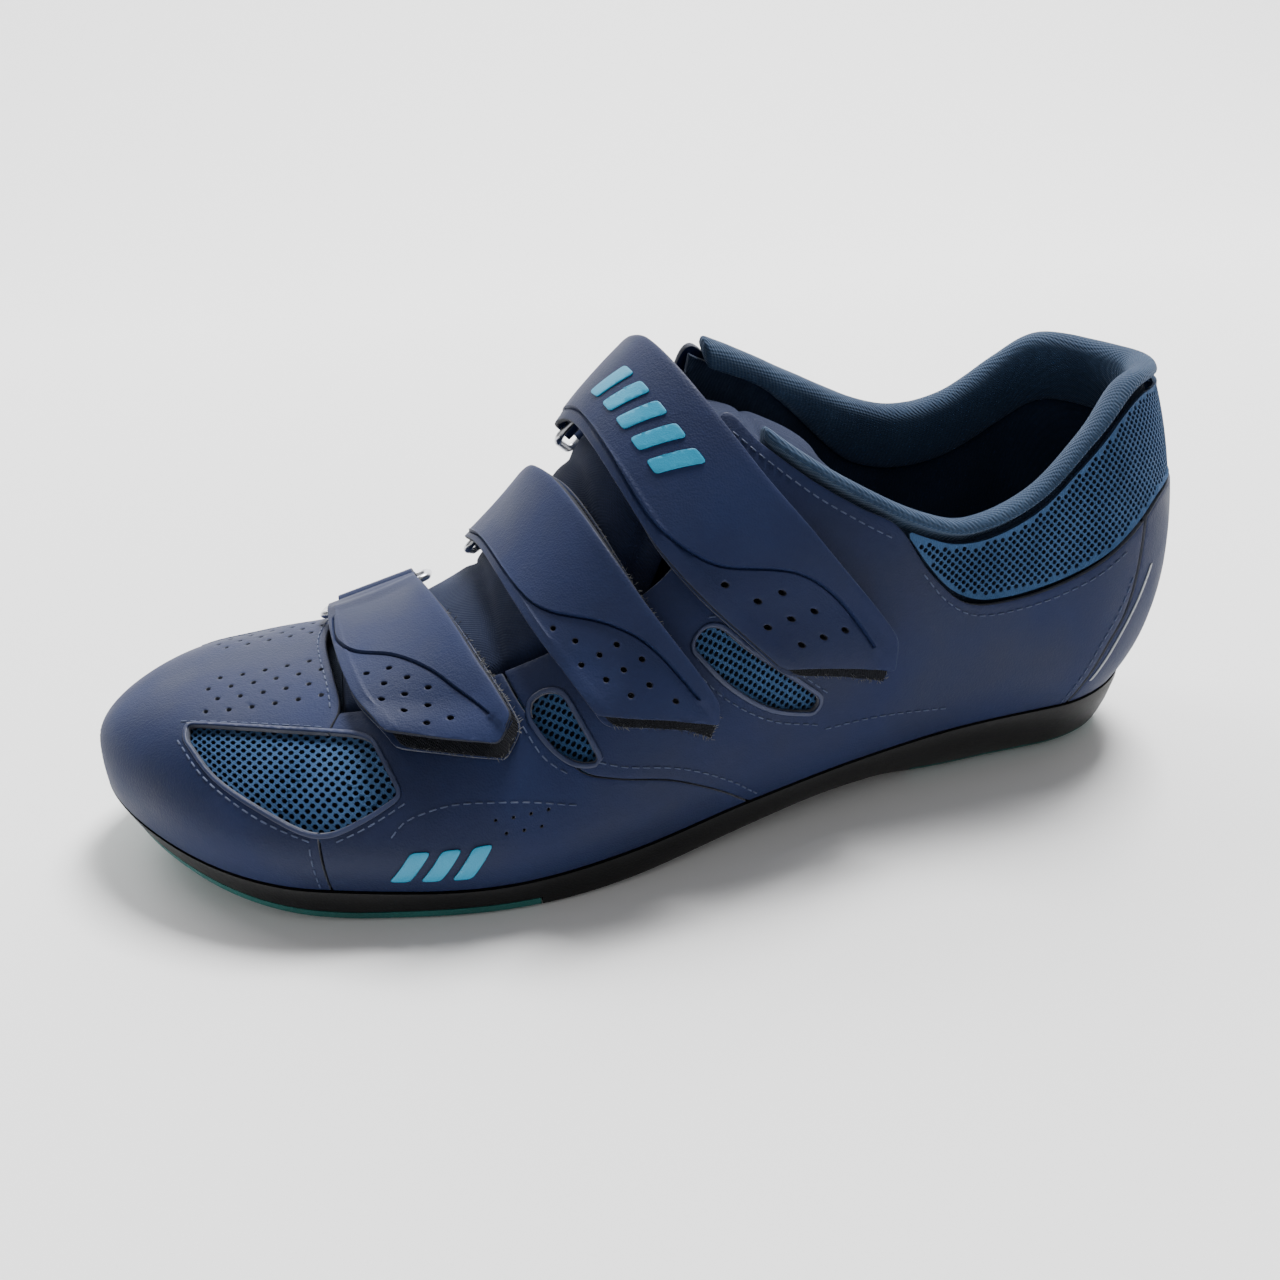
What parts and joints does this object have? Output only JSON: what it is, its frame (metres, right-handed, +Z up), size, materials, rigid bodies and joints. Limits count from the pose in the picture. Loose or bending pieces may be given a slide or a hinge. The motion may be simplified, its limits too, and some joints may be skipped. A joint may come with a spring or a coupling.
{
  "type": "cycling shoe",
  "caption": "Low left road cycling shoe with hook-and-loop straps folded through wire rings, mesh windows, padded collar and a stiff nylon outsole with rubber pads and cleat inserts.",
  "frame": {"origin": "centre of the bounding box footprint, on the ground the sole stands on", "axes": "toe towards -X, heel towards +X, lateral side towards -Y, medial side towards +Y, +Z up"},
  "size_m": [0.276, 0.1014, 0.1132],
  "materials": {
    "navy_microfibre": "matte",
    "knit_mesh": "woven",
    "lining_fabric": "woven",
    "collar_fabric": "brushed",
    "hook_loop": "fuzzy",
    "sole_nylon": "satin",
    "pad_rubber": "matte",
    "accent_print": "satin",
    "ring_wire": "satin",
    "insert_steel": "satin",
    "board_fibre": "matte",
    "stiffener_sheet": "matte",
    "footbed_foam": "matte"
  },
  "bodies": {
    "root": {"toe_cap": "navy_microfibre", "toe_puff": "stiffener_sheet", "heel_counter": "stiffener_sheet", "heel_stay": "navy_microfibre", "lateral_forefoot": "navy_microfibre", "medial_forefoot": "navy_microfibre", "lateral_quarter": "navy_microfibre", "medial_quarter": "navy_microfibre", "collar_mesh": "knit_mesh", "collar_roll": "collar_fabric", "lining_vamp": "lining_fabric", "lining_lateral": "lining_fabric", "lining_medial": "lining_fabric", "outsole": "sole_nylon", "toe_pad": "pad_rubber", "heel_pad": "pad_rubber", "lasting_board": "board_fibre", "footbed": "footbed_foam", "footbed_cover": "lining_fabric", "sealing_film": "board_fibre", "side_badge": "accent_print", "mesh_toe_lateral": "knit_mesh", "mesh_front_lateral": "knit_mesh", "mesh_rear_lateral": "knit_mesh", "mesh_toe_medial": "knit_mesh", "mesh_front_medial": "knit_mesh", "mesh_rear_medial": "knit_mesh", "cleat_insert_1": "insert_steel", "strap_base_1": "navy_microfibre", "strap_keeper_1": "navy_microfibre", "loop_patch_1": "hook_loop", "cleat_insert_2": "insert_steel", "strap_base_2": "navy_microfibre", "strap_keeper_2": "navy_microfibre", "loop_patch_2": "hook_loop", "cleat_insert_3": "insert_steel", "strap_base_3": "navy_microfibre", "strap_keeper_3": "navy_microfibre", "loop_patch_3": "hook_loop"},
    "ring_1": {"ring_1": "ring_wire"},
    "strap_1": {"strap_flap_1": "navy_microfibre", "hook_patch_1": "hook_loop"},
    "ring_2": {"ring_2": "ring_wire"},
    "strap_2": {"strap_flap_2": "navy_microfibre", "hook_patch_2": "hook_loop"},
    "ring_3": {"ring_3": "ring_wire"},
    "strap_3": {"strap_flap_3": "navy_microfibre", "hook_patch_3": "hook_loop", "strap_badge": "accent_print"},
    "tongue": {"tongue": "navy_microfibre"},
    "nut_plate": {"cleat_nut_plate": "insert_steel"}
  },
  "joints": [
    {"name": "ring_1_tilt", "type": "hinge", "parent": "root", "child": "ring_1", "pos_m": [-0.06732, 0.02937, 0.04884], "axis": [-0.9661, 0.01, -0.258], "range_deg": [0, 20]},
    {"name": "strap_1_peel", "type": "hinge", "parent": "ring_1", "child": "strap_1", "pos_m": [-0.06806, 0.0202, 0.05122], "axis": [-0.9661, 0.01, -0.258], "range_deg": [0, 80]},
    {"name": "ring_2_tilt", "type": "hinge", "parent": "root", "child": "ring_2", "pos_m": [-0.03192, 0.03024, 0.06442], "axis": [-0.7717, -0.064, -0.6328], "range_deg": [0, 20]},
    {"name": "strap_2_peel", "type": "hinge", "parent": "ring_2", "child": "strap_2", "pos_m": [-0.03447, 0.02198, 0.06837], "axis": [-0.7717, -0.064, -0.6328], "range_deg": [0, 110]},
    {"name": "ring_3_tilt", "type": "hinge", "parent": "root", "child": "ring_3", "pos_m": [-0.00489, 0.02648, 0.0906], "axis": [-0.755, -0.029, -0.655], "range_deg": [0, 20]},
    {"name": "strap_3_peel", "type": "hinge", "parent": "ring_3", "child": "strap_3", "pos_m": [-0.00906, 0.01965, 0.09571], "axis": [-0.755, -0.029, -0.655], "range_deg": [0, 110]},
    {"name": "tongue_sink", "type": "hinge", "parent": "root", "child": "tongue", "pos_m": [-0.07283, 0.0094, 0.04049], "axis": [0, 1, 0], "range_deg": [0, 6]},
    {"name": "nut_plate_slide", "type": "slide", "parent": "root", "child": "nut_plate", "axis": [1, 0, 0], "range_m": [-0.006, 0.006]}
  ]
}
